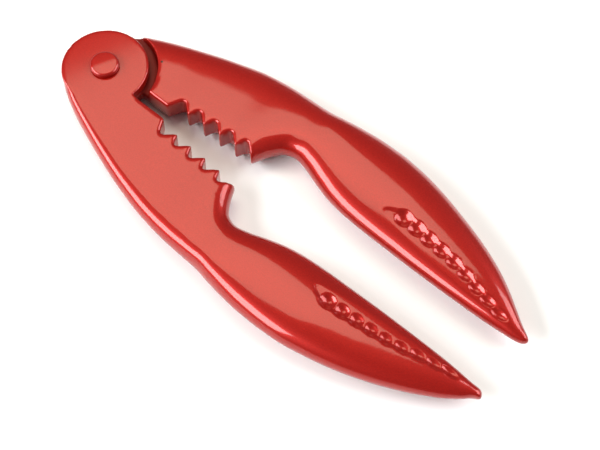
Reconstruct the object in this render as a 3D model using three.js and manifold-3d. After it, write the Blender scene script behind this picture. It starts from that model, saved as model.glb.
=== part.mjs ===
// A claw-shaped nutcracker: two cast arms that cross in a half-lap joint on one rivet.
// Millimetres, +Z up. The origin is on the rivet's axis, on the plane the tool lies on;
// +X runs between the two handles, towards their tips. The jaws stand a little open.
import * as THREE from "three";
import { mergeVertices } from "three/addons/utils/BufferGeometryUtils.js";
import Module from "manifold-3d";

const wasm = await Module();
wasm.setup();

// Driving dimensions
const armLength = 167.8;       // rivet axis to the tip of a handle
const armReach = 38.8;         // centre line to the widest point of a handle
const waistReach = 35.3;       // centre line to the outside of the jaws' far end
const reachOffset = 0.5;       // one arm bows out this much more, the other this much less
const tipSwell = 0.8;          // the second arm is this much fuller beside its tip
const jawThickness = 8.2;      // ears and jaws
const handleThickness = 12.4;  // the fullest part of a handle
const handleGap = 8.8;         // centre line to the inside of a handle
const waistGap = 15.8;         // centre line to the hollow behind the jaws
const earRadius = 14.7;        // round end of an arm, about the rivet
const shoulderClearance = 3.1; // around the other arm's ear
const flankAngle = 120;        // where an arm's outer side leaves its ear, in degrees
const lapGap = 0.3;            // between the two ears
const rootHalfGap = 2.0;       // centre line to the flat behind the teeth
const rootEnd = 27.7;          // where that flat ends
const toothCount = 5;
const toothPitch = 6.55;
const toothDepth = 3.2;
const jawHalfGap = 3.9;        // centre line to the first tooth
const jawFlare = 0.4;          // each further tooth stands this much further back
const toothOffset = 1.1;       // one arm's teeth sit this much nearer, the other's further
const gripNotches = 9;         // scallops along a handle's recess
const gripDepth = 1.3;
const shankRadius = 3.0;
const shankClearance = 0.3;
const headRadius = 4.95;
const headHeight = 1.6;
const tailRadius = 4.5;
const rivetGap = 0.3;          // under the rivet's head and above its tail

const midHeight = handleThickness / 2;
const jawHalf = jawThickness / 2;
const shoulderRadius = earRadius + shoulderClearance;
const boreRadius = shankRadius + shankClearance;
const enamel = { color: 0xb3170f, roughness: 0.16, metalness: 0.25 };

// The outer side runs straight off the ear, along its tangent.
function flankReach(x) {
  const angle = (flankAngle * Math.PI) / 180;
  return (earRadius - x * Math.cos(angle)) / Math.sin(angle);
}

// Stations along an arm: [x, outer edge, inner edge, half height, squareness across].
// The inner edge along the jaw is hidden: the teeth are cut out of it.
function stationsFor(offset) {
  const jawEnd = rootEnd + offset + toothPitch * toothCount + 1.0;
  const rest = armLength - jawEnd;
  const hidden = -1.5;
  const waist = waistGap;
  const gap = handleGap;
  const tip = armReach * 0.3125;
  const bow = (-offset / toothOffset) * reachOffset;
  const swell = offset > 0 ? tipSwell : 0;
  const stations = [
    [0, flankReach(0), hidden, 0, 8],
    [0.13 * jawEnd, flankReach(0.13 * jawEnd), hidden, 0, 7],
    [0.33 * jawEnd, waistReach * 0.742, hidden, 0, 6],
    [0.52 * jawEnd, waistReach * 0.858, hidden, 0.05, 5],
    [0.75 * jawEnd, waistReach * 0.957, 0, 0.2, 4.4],
    [0.93 * jawEnd, waistReach * 0.994, 1, 0.45, 4],
    [jawEnd, waistReach, waist * 0.335, 0.55, 4],
    [jawEnd + 1.6, waistReach, waist * 0.55, 0.58, 4],
    [jawEnd + 3.6, waistReach + 0.1, waist * 0.775, 0.62, 3.8],
    [jawEnd + 6.1, waistReach + 0.2, waist * 0.93, 0.68, 3.6],
    [jawEnd + 0.09 * rest, waistReach + 0.4, waist, 0.76, 3.4],
    [jawEnd + 0.137 * rest, armReach * 0.948, waist * 0.945, 0.86, 3.2],
    [jawEnd + 0.203 * rest, armReach * 0.977, waist * 0.8, 0.95, 3.0],
    [jawEnd + 0.268 * rest, armReach * 0.997, gap + 1.8, 1, 2.9],
    [jawEnd + 0.334 * rest, armReach, gap + 0.8, 1, 2.8],
    [jawEnd + 0.419 * rest, armReach * 0.982, gap + 0.4, 1, 2.7],
    [jawEnd + 0.513 * rest, armReach * 0.935, gap + 0.2, 0.96, 2.6],
    [jawEnd + 0.607 * rest, armReach * 0.875, gap, 0.82, 2.5],
    [jawEnd + 0.701 * rest, armReach * 0.788, gap, 0.62, 2.4],
    [jawEnd + 0.795 * rest, armReach * 0.68, gap + 0.1, 0.32, 2.3],
    [jawEnd + 0.861 * rest, armReach * 0.576 + swell * 0.5, gap + 0.3, 0.02, 2.3],
    [jawEnd + 0.917 * rest, armReach * 0.47 + swell, gap + 0.7, -0.35, 2.2],
    [armLength - 4.6, tip + 3.2 + swell * 0.6, tip - 2.2, -0.75, 2.2],
    [armLength - 1.8, tip + 1.7 - swell * 0.6, tip - 1.9, -0.98, 2.2],
    [armLength - 0.5, tip + 0.9 - swell * 0.3, tip - 1.1, -1.3, 2.1],
    [armLength, tip, tip, -1.3, 2.1],
  ];
  // the bow builds up along the jaw and is gone halfway down the handle
  for (const station of stations) {
    const share = station[0] / armLength;
    station[1] += bow * Math.min(1, share * 14) * Math.min(1, Math.max(0, (0.76 - share) * 8));
  }
  return stations;
}

// Half height of an arm: 0 is the jaw, 1 the full handle, below 0 thins towards the tip.
function halfHeight(share) {
  if (share >= 0) return jawHalf + (midHeight - jawHalf) * share;
  return Math.max(jawHalf * (1 + share * 0.55), 0.9);
}

// One body skinned over rounded cross-sections, closed by a flat end and a tip.
function skinArm(stations) {
  const around = 22;
  const points = [];
  const faces = [];
  const rows = stations.length - 1;
  for (const [x, outer, inner, height, square] of stations.slice(0, rows)) {
    const half = halfHeight(height);
    for (let i = 0; i < around; i++) {
      const turn = ((i + 0.5) / around) * 2 * Math.PI;
      const c = Math.cos(turn);
      const s = Math.sin(turn);
      const across = Math.sign(c) * Math.abs(c) ** (2 / square);
      const up = Math.sign(s) * Math.abs(s) ** 0.95;
      points.push(x, (inner + outer) / 2 + ((outer - inner) / 2) * across);
      points.push(midHeight + half * up);
    }
  }
  for (let r = 0; r < rows - 1; r++) {
    for (let i = 0; i < around; i++) {
      const a = r * around + i;
      const b = r * around + ((i + 1) % around);
      faces.push(a, b, a + around, b, b + around, a + around);
    }
  }
  const root = points.length / 3;
  for (const [x, outer, inner] of [stations[0], stations[rows]]) {
    points.push(x, (inner + outer) / 2, midHeight);
  }
  for (let i = 0; i < around; i++) {
    const j = (i + 1) % around;
    faces.push(root, j, i, root + 1, (rows - 1) * around + i, (rows - 1) * around + j);
  }
  const geometry = new THREE.BufferGeometry();
  geometry.setAttribute("position", new THREE.Float32BufferAttribute(points, 3));
  geometry.setIndex(faces);
  return geometry;
}

// Everything on the centre-line side of the teeth, as one outline.
function jawOutline(offset, stations) {
  const [jawEnd, afterEnd, waist] = [stations[6], stations[8], stations[10]];
  const shape = new THREE.Shape();
  shape.moveTo(-40, -60);
  shape.lineTo(-40, rootHalfGap);
  shape.lineTo(rootEnd + offset, rootHalfGap);
  for (let i = 0; i < toothCount; i++) {
    const valley = rootEnd + offset + toothPitch * (i + 0.44);
    const tipLine = jawHalfGap + jawFlare * i;
    shape.lineTo(valley - toothPitch * 0.06, tipLine + toothDepth - 0.15);
    shape.lineTo(valley + toothPitch * 0.06, tipLine + toothDepth);
    shape.lineTo(valley + toothPitch * 0.63, tipLine);
    shape.lineTo(valley + toothPitch * 0.75, tipLine);
  }
  shape.lineTo(jawEnd[0] + 1.0, jawEnd[2]);
  shape.lineTo(afterEnd[0] + 0.5, afterEnd[2] - 1.0);
  shape.lineTo(waist[0], waist[2] - 3.0);
  shape.lineTo(waist[0] + 10, 0);
  shape.lineTo(waist[0] + 10, -60);
  return shape;
}

// The recess on a handle's face: a smooth edge inside, scallops along the outside.
function gripOutline(stations) {
  const handleStart = stations[13][0];
  const x = (share) => handleStart + (armLength - handleStart) * share;
  const y = (share) => armReach * share;
  const first = x(0.297);
  const last = x(0.845);
  const pitch = (last - first) / (gripNotches - 1);
  const shape = new THREE.Shape();
  shape.moveTo(x(0.204), y(0.456));
  shape.quadraticCurveTo(x(0.225), y(0.53), first - pitch * 0.5, y(0.545));
  for (let i = 0; i < gripNotches; i++) {
    const share = i / (gripNotches - 1);
    const middle = first + pitch * i;
    const line = y(0.537 - 0.198 * share ** 1.35);
    const reach = y(0.035 - 0.019 * share);
    shape.lineTo(middle - pitch * 0.25, line + reach);
    shape.lineTo(middle + pitch * 0.2, line + reach * 0.75);
    if (i < gripNotches - 1) shape.lineTo(middle + pitch * 0.45, line - reach * 0.5);
  }
  shape.lineTo(x(0.9), y(0.307));
  shape.quadraticCurveTo(x(0.565), y(0.31), x(0.32), y(0.383));
  shape.quadraticCurveTo(x(0.235), y(0.415), x(0.204), y(0.456));
  return shape;
}

function prism(shape, bottom, top, curveSegments = 5) {
  const geometry = new THREE.ExtrudeGeometry(shape, {
    depth: top - bottom, bevelEnabled: false, curveSegments,
  });
  return geometry.translate(0, 0, bottom);
}

function post(radius, bottom, top, sides = 64) {
  const geometry = new THREE.CylinderGeometry(radius, radius, top - bottom, sides);
  return geometry.rotateX(Math.PI / 2).translate(0, 0, (top + bottom) / 2);
}

function solid(geometry) {
  const bare = geometry.clone();
  bare.deleteAttribute("normal");
  bare.deleteAttribute("uv");
  const merged = mergeVertices(bare, 1e-4);
  return new wasm.Manifold(new wasm.Mesh({
    numProp: 3,
    vertProperties: new Float32Array(merged.attributes.position.array),
    triVerts: new Uint32Array(merged.index.array),
  }));
}

function geometryOf(manifold) {
  const mesh = manifold.getMesh();
  const geometry = new THREE.BufferGeometry();
  geometry.setAttribute("position", new THREE.BufferAttribute(mesh.vertProperties, 3));
  geometry.setIndex(new THREE.BufferAttribute(mesh.triVerts, 1));
  return geometry;
}

// The ear: a disc with a softened rim, from the lap plane to the arm's face.
function earBody() {
  const rim = 0.8;
  const bottom = midHeight - jawHalf;
  const profile = [
    new THREE.Vector2(0, bottom),
    new THREE.Vector2(earRadius - rim, bottom),
    new THREE.Vector2(earRadius - rim * 0.3, bottom + rim * 0.3),
    new THREE.Vector2(earRadius, bottom + rim),
    new THREE.Vector2(earRadius, midHeight - lapGap / 2),
    new THREE.Vector2(0, midHeight - lapGap / 2),
  ];
  return new THREE.LatheGeometry(profile, 64);
}

// The part of an arm's outline between the round ear and the start of the jaw.
function flankOutline() {
  const angle = (flankAngle * Math.PI) / 180;
  const inset = 0.3;
  const end = shoulderRadius + 1;
  const shape = new THREE.Shape();
  shape.moveTo(0, 0);
  shape.lineTo(earRadius * 0.8, 0);
  shape.lineTo(shoulderRadius, rootHalfGap);
  shape.lineTo(end, rootHalfGap);
  shape.lineTo(end, flankReach(0.13 * end));
  shape.lineTo(0, flankReach(0) - inset);
  shape.lineTo(Math.cos(angle) * (earRadius - inset), Math.sin(angle) * (earRadius - inset));
  return shape;
}

// An arm on the +Y side with its ear below the lap plane.
function makeArm(offset) {
  const low = -5;
  const high = handleThickness + 5;
  const lap = midHeight - lapGap / 2;
  const stations = stationsFor(offset);
  const body = solid(skinArm(stations));
  const teeth = solid(prism(jawOutline(offset, stations), low, high));
  const clearance = solid(post(shoulderRadius, lap, high));
  const flank = solid(prism(flankOutline(), midHeight - jawHalf + 0.4, lap));
  const bore = solid(post(boreRadius, low, high, 40));
  const grip = gripOutline(stations);
  const upper = solid(prism(grip, midHeight, high)).subtract(body.translate([0, 0, -gripDepth]));
  const lower = solid(prism(grip, low, midHeight)).subtract(body.translate([0, 0, gripDepth]));
  return geometryOf(body.subtract(teeth).subtract(clearance).add(flank)
    .add(solid(earBody().rotateX(Math.PI / 2))).subtract(bore).subtract(upper).subtract(lower));
}

function named(name, geometry) {
  const mesh = new THREE.Mesh(geometry, new THREE.MeshStandardMaterial(enamel));
  mesh.name = name;
  return mesh;
}

const nutcracker = new THREE.Group();

const leftArm = named("arm_left", makeArm(-toothOffset));
nutcracker.add(leftArm);

// The second arm is the first turned over about the centre line, so its ear lies on top.
const rightArm = named("arm_right", makeArm(toothOffset));
rightArm.rotation.x = Math.PI;
rightArm.position.z = 2 * midHeight;
nutcracker.add(rightArm);

// The rivet: a low domed head, a shank through both ears and a flat peened tail.
const earTop = midHeight + jawHalf + rivetGap;
const earBottom = midHeight - jawHalf - rivetGap;
const rivetProfile = [
  new THREE.Vector2(0, 0),
  new THREE.Vector2(tailRadius - 0.7, 0),
  new THREE.Vector2(tailRadius, 0.7),
  new THREE.Vector2(tailRadius, earBottom),
  new THREE.Vector2(shankRadius, earBottom),
  new THREE.Vector2(shankRadius, earTop),
  new THREE.Vector2(headRadius, earTop),
  new THREE.Vector2(headRadius, earTop + headHeight * 0.5),
  new THREE.Vector2(headRadius - 0.35, earTop + headHeight * 0.8),
  new THREE.Vector2(headRadius - 1.1, earTop + headHeight * 0.97),
  new THREE.Vector2(headRadius - 2.0, earTop + headHeight),
  new THREE.Vector2(0, earTop + headHeight),
];
const rivet = named("pivot_rivet", new THREE.LatheGeometry(rivetProfile, 40));
rivet.rotation.x = Math.PI / 2;
nutcracker.add(rivet);

export default nutcracker;
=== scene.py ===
import bpy
import bmesh
import math
import numpy as np
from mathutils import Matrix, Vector


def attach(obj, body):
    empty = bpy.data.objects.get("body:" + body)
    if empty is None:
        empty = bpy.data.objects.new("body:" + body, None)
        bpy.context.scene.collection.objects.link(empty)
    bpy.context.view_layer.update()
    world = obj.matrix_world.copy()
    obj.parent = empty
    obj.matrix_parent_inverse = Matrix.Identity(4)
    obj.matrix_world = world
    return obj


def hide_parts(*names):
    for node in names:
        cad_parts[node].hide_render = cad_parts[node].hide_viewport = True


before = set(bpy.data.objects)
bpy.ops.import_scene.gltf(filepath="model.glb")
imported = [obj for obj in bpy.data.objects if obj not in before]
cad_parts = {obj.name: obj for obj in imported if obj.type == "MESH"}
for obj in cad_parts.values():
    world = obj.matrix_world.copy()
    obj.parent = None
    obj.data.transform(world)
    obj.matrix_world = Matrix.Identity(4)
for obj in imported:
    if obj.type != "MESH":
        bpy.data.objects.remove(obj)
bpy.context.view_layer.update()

# everything below is in millimetres until mm() turns it to metres
camera = {"turn": 40.1, "tilt": 62.8, "away": 507.5, "aimX": 87.4, "aimY": -2.1, "lens": 94.8}
arm = {
    "length": 167.8, "root": -8.4, "mid": 6.2, "jawHalf": 4.1, "rings": 230, "around": 88,
    "toothCount": 5, "toothPitch": 6.55, "toothDepth": 3.4, "toothGap": 3.75, "toothFlare": 0.4,
    "toothShift": 1.1, "tipSwell": 0.8, "rootEnd": 27.7, "rootGap": 2.0,
    "earRadius": 14.7, "shoulder": 17.8, "lapGap": 0.3, "bore": 3.3, "voxel": 0.385,
}
grip = {
    "start": 105.6, "end": 160.4, "slope": 0.19, "wall": 1.1,
    "dishCount": 9, "firstDish": 113.1, "lastDish": 155.7,
    "dishLength": 3.5, "dishReach": 2.85, "dishDepth": 1.85,
}
rivet = {
    "head": 4.95, "height": 1.6, "headBevel": 1.0, "shank": 3.0, "tail": 4.5, "tailBevel": 0.7, "gap": 0.3,
}


def mm(value):
    return value / 1000.0


def hexColour(text):
    parts = [int(text[i:i + 2], 16) / 255.0 for i in (1, 3, 5)]
    return [c / 12.92 if c <= 0.04045 else ((c + 0.055) / 1.055) ** 2.4 for c in parts] + [1.0]


def clearSelection():
    if bpy.context.mode != "OBJECT":
        bpy.ops.object.mode_set(mode="OBJECT")
    bpy.ops.object.select_all(action="DESELECT")


def pick(piece):
    clearSelection()
    piece.select_set(True)
    bpy.context.view_layer.objects.active = piece


def settle(piece):
    # the piece keeps its place in its mesh, so its object stays at the origin
    pick(piece)
    bpy.ops.object.transform_apply(location=True, rotation=True, scale=True)


def combine(piece, tool, operation):
    # joins or cuts with another solid, which is used up
    pick(piece)
    change = piece.modifiers.new("join", "BOOLEAN")
    change.operation = operation
    change.solver = "EXACT"
    change.object = tool
    bpy.ops.object.modifier_apply(modifier=change.name)
    bpy.data.objects.remove(tool, do_unlink=True)


def smoothThrough(knots, x):
    # a smooth line through the knots that never swings past them
    kx, ky = np.array(knots, float).T
    step = np.diff(kx)
    rise = np.diff(ky) / step
    slope = np.zeros(len(kx))
    slope[0], slope[-1] = rise[0], rise[-1]
    same = rise[:-1] * rise[1:] > 0
    before = 2 * step[1:] + step[:-1]
    after = step[1:] + 2 * step[:-1]
    with np.errstate(divide="ignore", invalid="ignore"):
        mean = (before + after) / (before / rise[:-1] + after / rise[1:])
    slope[1:-1] = np.where(same, mean, 0.0)
    i = np.clip(np.searchsorted(kx, x) - 1, 0, len(kx) - 2)
    t = np.clip((x - kx[i]) / step[i], 0, 1)
    return ((2 * t ** 3 - 3 * t ** 2 + 1) * ky[i] + (t ** 3 - 2 * t ** 2 + t) * step[i] * slope[i]
            + (-2 * t ** 3 + 3 * t ** 2) * ky[i + 1] + (t ** 3 - t ** 2) * step[i] * slope[i + 1])


def prismFrom(name, outline, low, high):
    # an outline drawn flat, then pulled up
    sheet = bpy.data.meshes.new(name)
    sheet.from_pydata([(mm(x), mm(y), mm(low)) for x, y in outline], [], [list(range(len(outline)))])
    piece = bpy.data.objects.new(name, sheet)
    bpy.context.scene.collection.objects.link(piece)
    pick(piece)
    bpy.ops.object.mode_set(mode="EDIT")
    bpy.ops.mesh.select_all(action="SELECT")
    bpy.ops.mesh.extrude_region_move(TRANSFORM_OT_translate={"value": (0, 0, mm(high - low))})
    bpy.ops.mesh.select_all(action="SELECT")
    bpy.ops.mesh.normals_make_consistent(inside=False)
    bpy.ops.object.mode_set(mode="OBJECT")
    return piece


def post(name, radius, low, high, sides=128):
    clearSelection()
    bpy.ops.mesh.primitive_cylinder_add(vertices=sides, radius=mm(radius), depth=mm(high - low),
                                        location=(0, 0, mm((low + high) / 2)))
    piece = bpy.context.object
    piece.name = name
    settle(piece)
    return piece


def pointsOf(piece):
    place = np.empty(len(piece.data.vertices) * 3)
    piece.data.vertices.foreach_get("co", place)
    return place.reshape(-1, 3)


def movePoints(piece, place):
    piece.data.vertices.foreach_set("co", place.ravel())
    piece.data.update()


def jawEnd(shift):
    return arm["rootEnd"] + shift + arm["toothPitch"] * arm["toothCount"] + 1.0


def armLines(shift):
    # outer side, inner side, crest line and half height along the arm, as knots
    # the teeth are cut out of the inner side afterwards
    end, plainEnd, tip = jawEnd(shift), jawEnd(0), arm["length"]
    stretch = (tip - end) / (tip - plainEnd)
    # the left arm bows out a little more than the right, which is fuller beside its tip
    spread = -shift / arm["toothShift"]
    swell = arm["tipSwell"] if shift > 0 else 0.0

    # places along the jaw and along the handle, which move with the teeth
    def near(x):
        return x * end / plainEnd

    def far(x):
        return end + (x - plainEnd) * stretch

    outer = [
        (arm["root"], 12.05), (-4, 15.2 + 0.2 * spread), (0, 17.65 + 0.45 * spread),
        (near(8), 21.5 + 0.7 * spread), (near(20), 26.2 + 0.8 * spread),
        (near(32), 30.25 + 0.85 * spread), (near(46), 33.8 + 0.9 * spread),
        (near(57), 35.1 + 0.7 * spread), (far(64), 35.4 + 0.6 * spread), (far(70), 35.7 + 0.6 * spread),
        (far(76), 36.7 + 0.6 * spread), (far(83), 37.75 + 0.6 * spread), (far(90), 38.4 + 0.6 * spread),
        (far(97), 38.55 + 0.55 * spread), (far(106), 38.0 + 0.35 * spread),
        (far(116), 36.3 + 0.2 * spread), (far(126), 33.75), (far(136), 30.5), (far(146), 26.3),
        (far(153), 22.35 + 0.5 * swell), (far(159), 18.3 + swell), (tip - 4.6, 15.4 + 0.6 * swell),
        (tip - 2.2, 14.0 - 0.5 * swell), (tip - 0.9, 13.2 - 0.5 * swell), (tip, 12.4),
    ]
    inner = [
        (arm["root"], -4), (near(20), -12), (near(52), -12), (near(58), -5), (end, 5.0),
        (end + 1.6, 8.7), (end + 3.6, 12.2), (end + 6.1, 14.9), (far(71.4), 16.0), (far(76), 15.0),
        (far(83), 12.6), (far(90), 10.7), (far(97), 9.7), (far(106), 9.2), (far(116), 9.0),
        (far(126), 8.8), (far(136), 8.8), (far(146), 8.9), (far(153), 9.1), (far(159), 9.5),
        (tip - 4.6, 9.8), (tip - 2.2, 10.2 - 0.5 * swell), (tip - 0.9, 10.9 - 0.6 * swell), (tip, 11.8),
    ]
    crest = [
        (arm["root"], 4.0), (near(20), 12.5), (near(46), 17.5), (near(57), 20.5), (far(66), 24.0),
        (far(76), 26.0), (far(90), 24.8), (far(106), 24.3), (far(126), 22.2), (far(146), 18.2),
        (far(159), 13.8), (tip - 4.6, 12.5), (tip, 12.1),
    ]
    height = [
        (arm["root"], 4.1), (near(20), 4.1), (near(32), 4.25), (near(46), 4.6), (near(57), 5.1),
        (far(67), 5.5), (far(76), 5.95), (far(90), 6.2), (far(110), 6.2), (far(126), 5.8),
        (far(136), 5.35), (far(146), 4.75), (far(153), 4.15), (far(159), 3.35), (tip - 4.6, 2.5),
        (tip - 2.2, 2.1), (tip - 0.9, 1.6), (tip, 0.4),
    ]
    return outer, inner, crest, height


def skinArm(shift):
    # a tube cut into rings, each ring then shaped to the arm's rounded cross-section
    clearSelection()
    bpy.ops.mesh.primitive_cylinder_add(vertices=arm["around"], radius=1, depth=2, end_fill_type="NGON",
                                        rotation=(0, math.pi / 2, 0))
    piece = bpy.context.object
    settle(piece)
    pick(piece)
    bpy.ops.object.mode_set(mode="EDIT")
    mesh = bmesh.from_edit_mesh(piece.data)
    for edge in mesh.edges:
        edge.select_set(abs(edge.verts[0].co.x - edge.verts[1].co.x) > 1)
    bmesh.update_edit_mesh(piece.data)
    bpy.ops.mesh.subdivide_edgering(number_cuts=arm["rings"], interpolation="LINEAR")
    bpy.ops.object.mode_set(mode="OBJECT")
    place = pointsOf(piece)
    turn = np.arctan2(place[:, 2], place[:, 1])
    along = np.clip((place[:, 0] + 1) / 2, 0, 1)
    # the rings crowd together at the tip
    x = arm["root"] + (arm["length"] - arm["root"]) * (1.1 * along - 0.1 * along ** 11)
    outer, inner, crest, height = armLines(shift)
    outside, inside, top, half = (smoothThrough(line, x) for line in (outer, inner, crest, height))
    c, s = np.cos(turn), np.sin(turn)
    # the face on the ear's side stays flat past the ear, the other face is rounded all along
    lapSide, earSide, innerSide = (smoothThrough(knots, x) for knots in (
        [(-8, 3.6), (40, 3.6), (70, 3.2), (90, 2.7), (160, 2.2), (168, 2.0)],
        [(-8, 16), (6, 10), (20, 8), (40, 7), (70, 4.8), (90, 3.2), (120, 2.6), (160, 2.2), (168, 2.0)],
        [(-8, 5), (28, 3.8), (46, 2.8), (60, 2.6), (70, 2.8), (84, 2.7), (100, 2.45), (120, 2.2), (150, 2.1),
         (168, 2.0)]))
    square = np.where(c > 0, np.where(s > 0, lapSide, earSide), innerSide)
    width = np.where(c > 0, outside - top, top - inside)
    place[:, 0] = mm(x)
    place[:, 1] = mm(top + width * np.sign(c) * np.abs(c) ** (2 / square))
    place[:, 2] = mm(arm["mid"] + half * np.sign(s) * np.abs(s))
    movePoints(piece, place)
    pick(piece)
    bpy.ops.object.mode_set(mode="EDIT")
    bpy.ops.mesh.select_all(action="SELECT")
    bpy.ops.mesh.normals_make_consistent(inside=False)
    bpy.ops.object.mode_set(mode="OBJECT")
    return piece


def toothOutline(shift):
    # everything on the centre-line side of the teeth, well past the arm's own edges
    rootEnd, rootGap = arm["rootEnd"] + shift, arm["rootGap"]
    pitch, depth = arm["toothPitch"], arm["toothDepth"]
    line = [(-40, -60), (-40, rootGap), (rootEnd, rootGap)]
    for i in range(arm["toothCount"]):
        valley = rootEnd + pitch * (i + 0.44)
        tip = arm["toothGap"] + arm["toothFlare"] * i
        line += [(valley - 0.55, tip + depth - 0.5), (valley, tip + depth)]
        line += [(valley + 0.6, tip + depth - 0.15)]
        line += [(valley + pitch * 0.66, tip), (valley + pitch * 0.72, tip)]
    end = jawEnd(shift)
    return line + [(end + 1.0, 5.3), (end + 4.1, 11.2), (end + 9.4, 12.8), (end + 19.4, 0), (end + 19.4, -60)]


def gripDepth(x, y):
    # how deep the recess lies under the skin: a floor sloping down to a chain of scooped dishes
    start, end = grip["start"], grip["end"]
    innerEdge = [
        (start, 17.4), (107, 16.3), (110, 15.5), (116, 14.4), (126, 13.2), (138, 12.3), (150, 11.7),
        (end, 11.7),
    ]
    outerEdge = [
        (start, 17.6), (107, 19.0), (110, 20.5), (113.5, 21.7), (120, 21.0), (126, 20.2), (131, 19.6),
        (136.5, 18.7), (141.7, 17.4), (147.6, 15.8), (152.8, 14.9), (156.8, 13.7), (end, 11.9),
    ]
    back, front = smoothThrough(innerEdge, x), smoothThrough(outerEdge, x)
    floor = np.minimum(grip["slope"] * (y - back), grip["wall"] * (front - 0.5 - y))
    depth = np.where((x > start) & (x < end), floor, 0)
    # the dishes get smaller and shallower towards the tip
    for share in np.linspace(0, 1, grip["dishCount"]):
        middle = grip["firstDish"] + (grip["lastDish"] - grip["firstDish"]) * share
        reach = grip["dishReach"] - 1.4 * share
        edge = smoothThrough(outerEdge, np.array([middle]))[0]
        apart = ((x - middle) / grip["dishLength"]) ** 2 + ((y - edge + reach) / reach) ** 2
        depth = np.maximum(depth, (grip["dishDepth"] - 0.9 * share) * (1 - apart))
    return np.maximum(depth, 0)


def soften(piece, label, where, rounds):
    # rounds the edges of the whole piece, or of the points picked out
    pick(piece)
    soft = piece.modifiers.new(label, "SMOOTH")
    soft.factor = 0.5
    soft.iterations = rounds
    if where is not None:
        piece.vertex_groups.new(name=label).add(np.flatnonzero(where).tolist(), 1.0, "REPLACE")
        soft.vertex_group = label
    bpy.ops.object.modifier_apply(modifier=soft.name)


def makeArm(name, shift, flip):
    # the body is skinned, the teeth and lap are cut, every edge is softened and the recess pressed in
    piece = skinArm(shift)
    piece.name = name
    mid, half = arm["mid"], arm["jawHalf"]
    # the cutting solids reach well below and above the arm
    low, high = -8, 20
    combine(piece, prismFrom("teeth", toothOutline(shift), low, high), "DIFFERENCE")
    lap = mid - arm["lapGap"] / 2
    combine(piece, post("shoulder", arm["shoulder"], lap, high), "DIFFERENCE")
    combine(piece, post("ear", arm["earRadius"], mid - half, lap, 160), "UNION")
    combine(piece, post("bore", arm["bore"], low, high, 64), "DIFFERENCE")
    pick(piece)
    cells = piece.modifiers.new("cells", "REMESH")
    cells.mode = "VOXEL"
    cells.voxel_size = mm(arm["voxel"])
    bpy.ops.object.modifier_apply(modifier=cells.name)
    # the points round the teeth, and those of both faces round the recess
    x, y, z = pointsOf(piece).T * 1000
    teeth = (x > 16) & (x < jawEnd(shift) + 3) & (y < 13)
    grips = (x > 101) & (x < 163) & (y < 27) & (np.abs(z - mid) > 1.2)
    soften(piece, "all", None, 8)
    soften(piece, "teeth", teeth, 28)
    # the recess is pressed into both faces of the handle
    place = pointsOf(piece)
    x, y, z = place.T * 1000
    place[:, 2] -= np.where(grips, np.sign(z - mid) * mm(gripDepth(x, y)), 0)
    movePoints(piece, place)
    soften(piece, "grips", grips, 3)
    piece.vertex_groups.clear()
    if flip:
        piece.rotation_euler = (math.pi, 0, 0)
        piece.location = (0, 0, mm(2 * mid))
    settle(piece)
    pick(piece)
    bpy.ops.object.shade_smooth()
    print(name, "has", len(piece.data.polygons), "faces")
    return piece


leftArm = makeArm("leftArm", -arm["toothShift"], False)
rightArm = makeArm("rightArm", arm["toothShift"], True)


def makeRivet():
    # a flat head with a rounded edge, the shank through both ears and a flat tail, joined
    top = arm["mid"] + arm["jawHalf"] + rivet["gap"]
    bottom = arm["mid"] - arm["jawHalf"] - rivet["gap"]
    clearSelection()
    bpy.ops.mesh.primitive_cylinder_add(vertices=96, radius=mm(rivet["head"]), depth=mm(rivet["height"]),
                                        location=(0, 0, mm(top + rivet["height"] / 2)))
    piece = bpy.context.object
    piece.name = "pivotRivet"
    settle(piece)
    pick(piece)
    bpy.ops.object.mode_set(mode="EDIT")
    mesh = bmesh.from_edit_mesh(piece.data)
    for edge in mesh.edges:
        edge.select_set(all(v.co.z > mm(top + rivet["height"]) - 1e-6 for v in edge.verts))
    bmesh.update_edit_mesh(piece.data)
    bpy.ops.mesh.bevel(offset=mm(rivet["headBevel"]), segments=8, affect="EDGES")
    bpy.ops.object.mode_set(mode="OBJECT")
    combine(piece, post("shank", rivet["shank"], bottom - 0.1, top + 0.2, 64), "UNION")
    tail = post("tail", rivet["tail"], 0, bottom, 96)
    pick(tail)
    bpy.ops.object.mode_set(mode="EDIT")
    mesh = bmesh.from_edit_mesh(tail.data)
    for edge in mesh.edges:
        edge.select_set(all(v.co.z < 1e-6 for v in edge.verts))
    bmesh.update_edit_mesh(tail.data)
    bpy.ops.mesh.bevel(offset=mm(rivet["tailBevel"]), segments=6, affect="EDGES")
    bpy.ops.object.mode_set(mode="OBJECT")
    combine(piece, tail, "UNION")
    pick(piece)
    bpy.ops.object.shade_smooth_by_angle(angle=math.radians(40))
    return piece


pivotRivet = makeRivet()
print("pieces made")


def addNode(tree, kind, settings=None, inputs=None):
    # one node, its own settings, then values or links into its sockets
    node = tree.nodes.new(kind)
    for key, value in (settings or {}).items():
        setattr(node, key, value)
    for key, value in (inputs or {}).items():
        if isinstance(value, bpy.types.NodeSocket):
            tree.links.new(value, node.inputs[key])
        else:
            node.inputs[key].default_value = value
    return node


def newMaterial(name):
    material = bpy.data.materials.new(name)
    material.use_nodes = True
    tree = material.node_tree
    tree.nodes.clear()
    return material, tree


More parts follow.
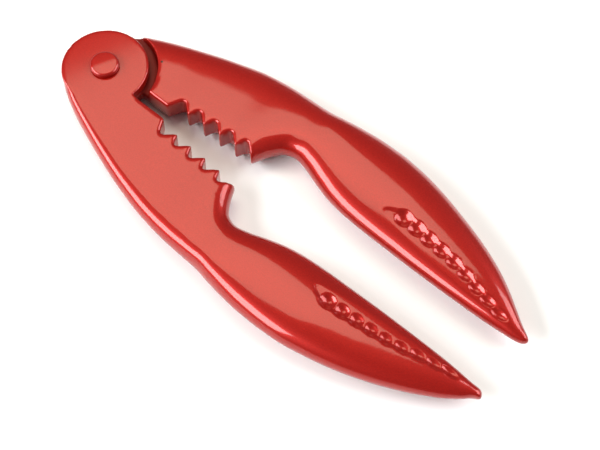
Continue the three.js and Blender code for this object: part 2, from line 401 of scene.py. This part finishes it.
def redEnamel():
    # stoved red enamel: fine bright flake under a clear gloss, browner and duller red with little clear coat
    # where the arms lap
    material, tree = newMaterial("stovedRedEnamel")
    coords = addNode(tree, "ShaderNodeTexCoord")
    inMetres = coords.outputs["Object"]
    peel = addNode(tree, "ShaderNodeTexNoise", None, {"Vector": inMetres, "Scale": 330.0, "Detail": 2.0})
    bump = addNode(tree, "ShaderNodeBump", None, {
        "Height": peel.outputs["Fac"], "Strength": 0.05, "Distance": mm(0.2)})
    flake = addNode(tree, "ShaderNodeTexNoise", None, {"Vector": inMetres, "Scale": 2600.0, "Detail": 1.0})
    grain = addNode(tree, "ShaderNodeMapRange", None, {
        "Value": flake.outputs["Fac"], "From Min": 0.3, "From Max": 0.7, "To Min": 0.0, "To Max": 1.0})
    red = addNode(tree, "ShaderNodeMix", {"data_type": "RGBA"}, {
        "Factor": grain.outputs["Result"], "A": hexColour("#951008"), "B": hexColour("#a6150b")})
    # one pinhole in the enamel, on the left arm beside the shoulder
    away = addNode(tree, "ShaderNodeVectorMath", {"operation": "DISTANCE"}, {
        0: inMetres, 1: (mm(13.5), mm(13.6), mm(10.1))})
    pin = addNode(tree, "ShaderNodeMapRange", None, {
        "Value": away.outputs["Value"], "From Min": mm(0.35), "From Max": mm(0.55),
        "To Min": 1.0, "To Max": 0.0})
    pitted = addNode(tree, "ShaderNodeMix", {"data_type": "RGBA"}, {
        "Factor": pin.outputs["Result"], "A": red.outputs["Result"], "B": hexColour("#1e0504")})
    # the lap faces lie inside the shoulder, within 0.6 mm of the arms' middle height, and aren't upright
    split = addNode(tree, "ShaderNodeSeparateXYZ", None, {"Vector": inMetres})
    level = addNode(tree, "ShaderNodeCombineXYZ", None, {"X": split.outputs["X"], "Y": split.outputs["Y"]})
    ring = addNode(tree, "ShaderNodeVectorMath", {"operation": "LENGTH"}, {"Vector": level.outputs["Vector"]})
    inside = addNode(tree, "ShaderNodeMath", {"operation": "LESS_THAN"}, {
        0: ring.outputs["Value"], 1: mm(arm["shoulder"] - 0.05)})
    midway = addNode(tree, "ShaderNodeMath", {"operation": "COMPARE"}, {
        0: split.outputs["Z"], 1: mm(arm["mid"]), 2: mm(0.6)})
    near = addNode(tree, "ShaderNodeMath", {"operation": "MULTIPLY"}, {
        0: inside.outputs["Value"], 1: midway.outputs["Value"]})
    facing = addNode(tree, "ShaderNodeSeparateXYZ", None, {"Vector": coords.outputs["Normal"]})
    upright = addNode(tree, "ShaderNodeMath", {"operation": "COMPARE"}, {
        0: facing.outputs["Z"], 1: 0.0, 2: 0.6})
    lying = addNode(tree, "ShaderNodeMath", {"operation": "SUBTRACT"}, {
        0: near.outputs["Value"], 1: upright.outputs["Value"]})
    lapFace = addNode(tree, "ShaderNodeMath", {"operation": "GREATER_THAN"}, {
        0: lying.outputs["Value"], 1: 0.5})
    # the lap faces take a browner, duller red, are rougher and lose most of their clear coat
    lapTone = addNode(tree, "ShaderNodeMix", {"data_type": "RGBA"}, {
        "Factor": lapFace.outputs["Value"], "A": pitted.outputs["Result"], "B": hexColour("#84251f")})
    dull = addNode(tree, "ShaderNodeMapRange", None, {
        "Value": lapFace.outputs["Value"], "To Min": 0.36, "To Max": 0.6})
    bare = addNode(tree, "ShaderNodeMapRange", None, {
        "Value": lapFace.outputs["Value"], "To Min": 1.0, "To Max": 0.1})
    shader = addNode(tree, "ShaderNodeBsdfPrincipled", None, {
        "Base Color": lapTone.outputs["Result"], "Metallic": 0.4, "Roughness": dull.outputs["Result"],
        "Specular IOR Level": 0.2, "Coat Weight": bare.outputs["Result"], "Coat Roughness": 0.08,
        "Coat IOR": 1.42, "Normal": bump.outputs["Normal"]})
    out = addNode(tree, "ShaderNodeOutputMaterial")
    tree.links.new(shader.outputs["BSDF"], out.inputs["Surface"])
    return material


enamel = redEnamel()
for piece, body, node, slot in ((leftArm, "left_arm", "arm_left", "arm_enamel"),
                                (rightArm, "right_arm", "arm_right", "arm_enamel"),
                                (pivotRivet, "right_arm", "pivot_rivet", "rivet_enamel")):
    piece.data.materials.clear()
    piece.data.materials.append(enamel)
    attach(piece, body)
    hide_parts(node)
print("materials set")


def makeStage():
    # a matt white sheet under soft studio lights
    clearSelection()
    bpy.ops.mesh.primitive_plane_add(size=6, location=(0, 0, 0))
    floor = bpy.context.object
    floor.name = "floor"
    material, tree = newMaterial("paleFloor")
    shader = addNode(tree, "ShaderNodeBsdfPrincipled", None, {
        "Base Color": hexColour("#f6f6f6"), "Roughness": 0.8, "Specular IOR Level": 0.1})
    out = addNode(tree, "ShaderNodeOutputMaterial")
    tree.links.new(shader.outputs["BSDF"], out.inputs["Surface"])
    floor.data.materials.append(material)
    world = bpy.data.worlds.new("studio")
    bpy.context.scene.world = world
    world.use_nodes = True
    sky = world.node_tree.nodes["Background"]
    sky.inputs["Color"].default_value = (1, 1, 1, 1)
    sky.inputs["Strength"].default_value = 0.18
    warm, plain = (1.0, 0.93, 0.72), (1.0, 1.0, 1.0)
    # name, place, aim and size in metres, degrees turned about Z, watts and tint
    lights = (
        ("overheadSoftbox", (-0.326, 0.247, 1.05), (-0.326, 0.247, 0.0), (0.75, 0.56), 68.1, 4.5, warm),
        ("backSoftbox", (0.86, 0.86, 0.9), (0.087, 0.0, 0.0), (1.2, 0.9), 0.0, 20.0, plain),
        ("leftStrip", (-0.46, -0.70, 0.56), (0.087, 0.0, 0.0), (1.05, 0.5), 0.0, 18.0, plain),
    )
    for name, place, aim, size, turned, power, tint in lights:
        lamp = bpy.data.lights.new(name, "AREA")
        lamp.shape = "RECTANGLE"
        lamp.size, lamp.size_y = size
        lamp.energy = power
        lamp.color = tint
        holder = bpy.data.objects.new(name, lamp)
        bpy.context.scene.collection.objects.link(holder)
        holder.location = place
        holder.rotation_euler = (Vector(aim) - Vector(place)).to_track_quat("-Z", "Y").to_euler()
        holder.rotation_euler.z += math.radians(turned)


def makeCamera():
    turn, tilt = math.radians(camera["turn"]), math.radians(camera["tilt"])
    back = Vector((math.sin(turn) * math.cos(tilt), -math.cos(turn) * math.cos(tilt), math.sin(tilt)))
    aim = Vector((mm(camera["aimX"]), mm(camera["aimY"]), mm(arm["mid"])))
    lens = bpy.data.cameras.new("camera")
    lens.lens = camera["lens"]
    lens.sensor_width = 36
    eye = bpy.data.objects.new("camera", lens)
    bpy.context.scene.collection.objects.link(eye)
    eye.location = aim + back * mm(camera["away"])
    eye.rotation_euler = (-back).to_track_quat("-Z", "Y").to_euler()
    bpy.context.scene.camera = eye


makeStage()
makeCamera()
bpy.context.scene.view_settings.view_transform = "Standard"
print("stage set")
